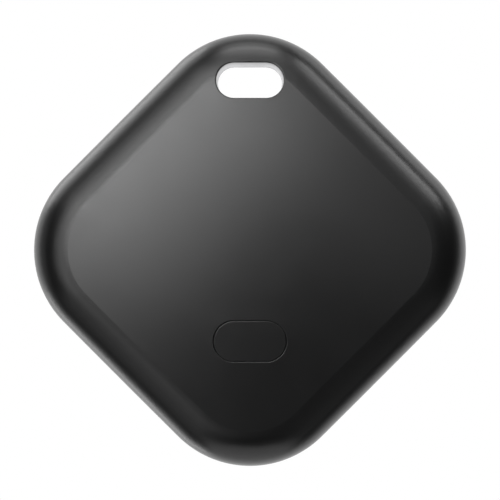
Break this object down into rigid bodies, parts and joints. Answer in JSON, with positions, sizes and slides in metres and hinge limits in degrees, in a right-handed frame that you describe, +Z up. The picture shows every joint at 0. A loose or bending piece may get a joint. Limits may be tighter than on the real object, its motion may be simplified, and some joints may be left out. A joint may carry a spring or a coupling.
{
  "type": "tracker tag",
  "caption": "Flat rounded-square key-ring tracker tag hanging from a corner slot, with a domed front, an oval press button and a round twist-off battery door.",
  "frame": {"origin": "centre of the key-ring slot, half-way through the thickness", "axes": "+Z up from the button to the slot, as the tag hangs; -Y out of the domed front; +Y out of the flat back and its battery door; +X to the right seen from the front"},
  "size_m": [0.045, 0.0084, 0.0449],
  "materials": {
    "black_plastic": "near-black satin, finely spark-textured",
    "satin_metal": "satin, bead-blasted",
    "dark_silicone": "matte silicone rubber",
    "foam": "matte closed-cell foam",
    "grey_plastic": "moulded, matte",
    "board_laminate": "green solder mask over glass laminate",
    "screw_steel": "zinc-nickel plated",
    "spring_steel": "stainless sheet",
    "nickel_steel": "nickel-plated pressed steel",
    "cell_paste": "pressed powder pellet",
    "lithium": "dull soft metal",
    "gold_spring": "gold-plated bronze strip",
    "brass": "rolled sheet",
    "buzzer_ceramic": "silver-faced piezo ceramic",
    "chip_plastic": "moulded epoxy",
    "part_ceramic": "fired, with tinned ends"
  },
  "bodies": {
    "case": {"front_shell": "black_plastic", "rear_shell": "black_plastic", "slot_liner": "satin_metal", "seam_seal": "dark_silicone", "button_seal": "dark_silicone", "cell_frame": "grey_plastic", "main_board": "board_laminate", "frame_screws": "screw_steel", "switch_base": "grey_plastic", "switch_cover": "spring_steel", "switch_dome": "spring_steel", "cell_can": "nickel_steel", "cell_cap": "nickel_steel", "cell_seal": "grey_plastic", "cell_cathode": "cell_paste", "cell_lithium": "lithium", "negative_contact": "gold_spring", "positive_contacts": "gold_spring", "buzzer_tape": "foam", "buzzer_plate": "brass", "buzzer_ceramic": "buzzer_ceramic", "buzzer_contacts": "gold_spring", "radio_chip": "chip_plastic", "flash_memory": "chip_plastic", "motion_sensor": "chip_plastic", "buzzer_driver": "chip_plastic", "radio_crystal": "nickel_steel", "clock_crystal": "nickel_steel", "boost_coil": "chip_plastic", "bulk_capacitor": "part_ceramic", "chip_antenna": "part_ceramic", "ceramic_capacitors": "part_ceramic", "chip_resistors": "chip_plastic"},
    "button": {"button_cap": "black_plastic"},
    "plunger": {"switch_plunger": "grey_plastic"},
    "door": {"battery_door": "black_plastic", "door_seal_ring": "dark_silicone", "door_foam_pad": "foam"}
  },
  "joints": [
    {"name": "button_press", "type": "slide", "parent": "case", "child": "button", "axis": [0, 1, 0], "range_m": [0, 0.0002], "stiffness_N_per_m": 6000, "deforming": ["button_seal"]},
    {"name": "plunger_press", "type": "slide", "parent": "case", "child": "plunger", "axis": [0, 1, 0], "range_m": [0, 0.0002], "deforming": ["switch_dome", "button_seal"]},
    {"name": "door_turn", "type": "hinge", "parent": "case", "child": "door", "pos_m": [0, 0.0042, -0.01745], "axis": [0, 1, 0], "range_deg": [0, 30]}
  ],
  "couplings": [
    {"joint": "plunger_press", "follows": "button_press", "ratio": 1}
  ]
}
